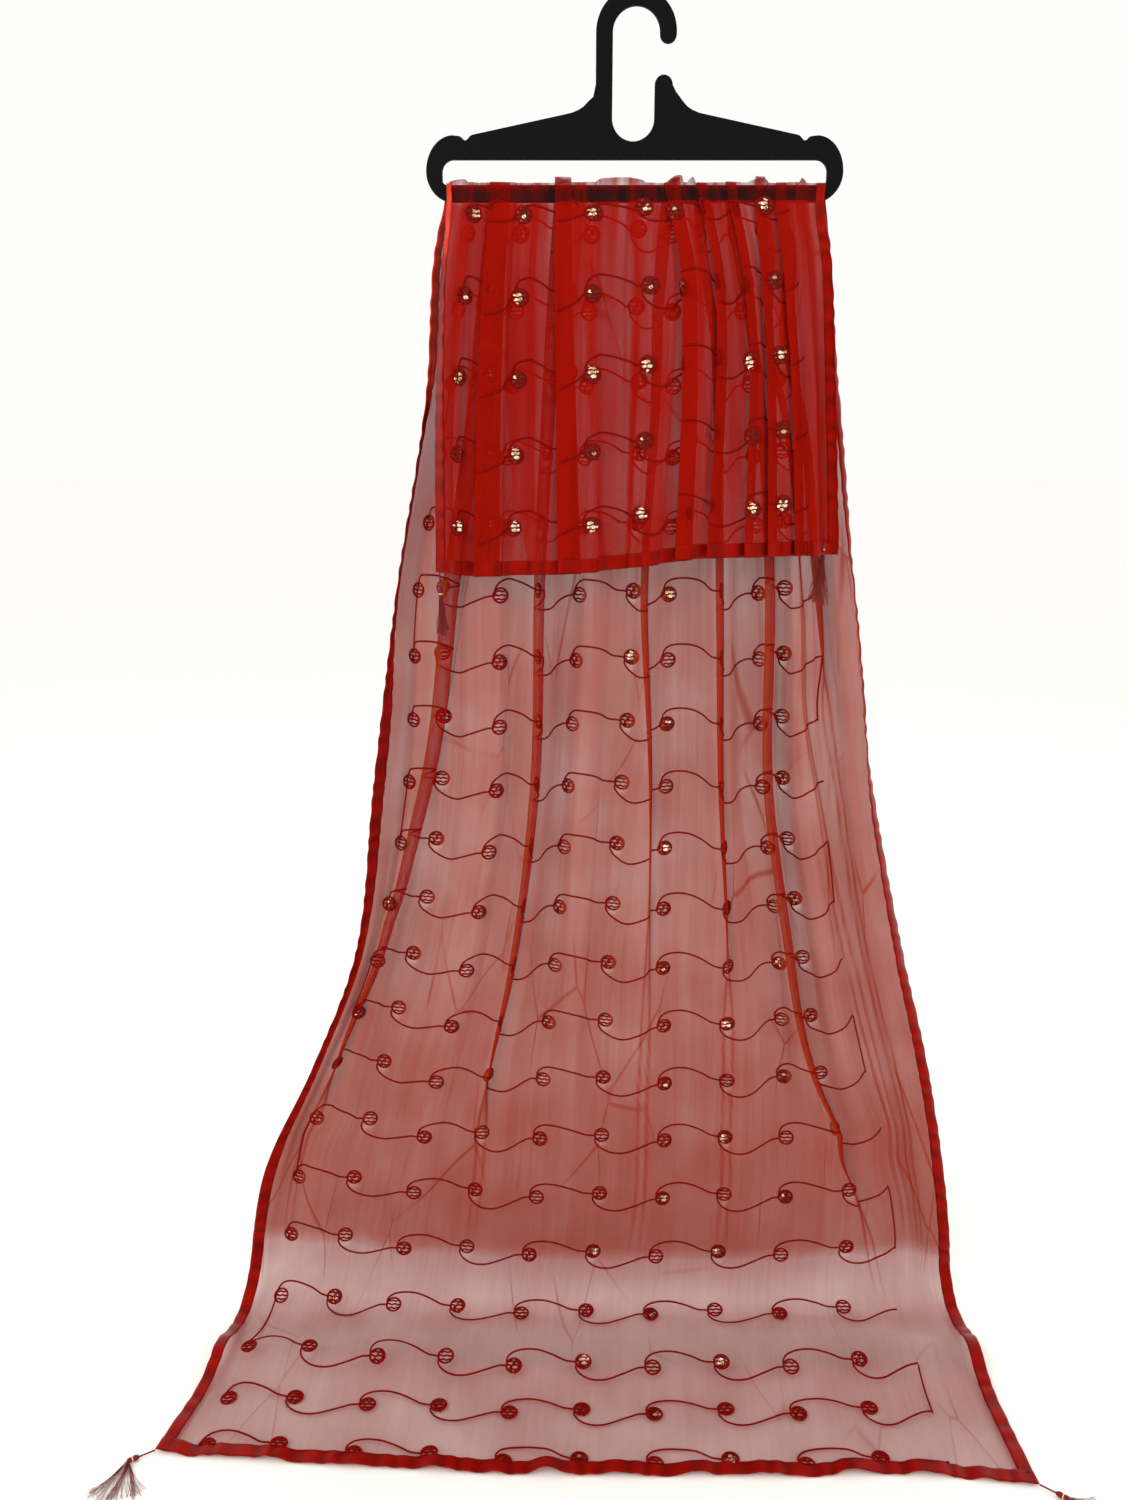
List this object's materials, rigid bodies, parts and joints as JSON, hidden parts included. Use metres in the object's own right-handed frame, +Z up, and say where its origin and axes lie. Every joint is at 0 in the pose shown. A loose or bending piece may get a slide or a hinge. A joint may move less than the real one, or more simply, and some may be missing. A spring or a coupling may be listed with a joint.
{
  "type": "dupatta stole on a hanger",
  "caption": "Sheer net dupatta stole with satin ribbon edges and corner tassels, hung over the lower bar of a flat hanger with its long end spread on the floor.",
  "frame": {"origin": "top of the inside of the hanger's hook, where it hangs on a rail", "axes": "+Z up, -Y to the front, where the short flap hangs; X runs along the hanger's bar"},
  "size_m": [0.9921, 0.3542, 1.3827],
  "materials": {
    "hanger": "black injection-moulded plastic, slightly satin",
    "net": "sheer red nylon net with cord embroidery and sequins",
    "satin": "dark red satin ribbon",
    "thread": "dark red silky thread"
  },
  "bodies": {
    "root": {"hanger": "hanger", "net_front_flap": "net", "net_bar_fold": "net", "net_back_fall": "net", "net_floor_spread": "net", "border_flap_left": "satin", "border_flap_right": "satin", "border_fall_left": "satin", "border_fall_right": "satin", "border_floor_left": "satin", "border_floor_right": "satin", "border_flap_hem": "satin", "border_floor_hem": "satin", "tassel_flap_left": "thread", "tassel_flap_right": "thread", "tassel_hem_left": "thread", "tassel_hem_right": "thread"}
  },
  "joints": []
}
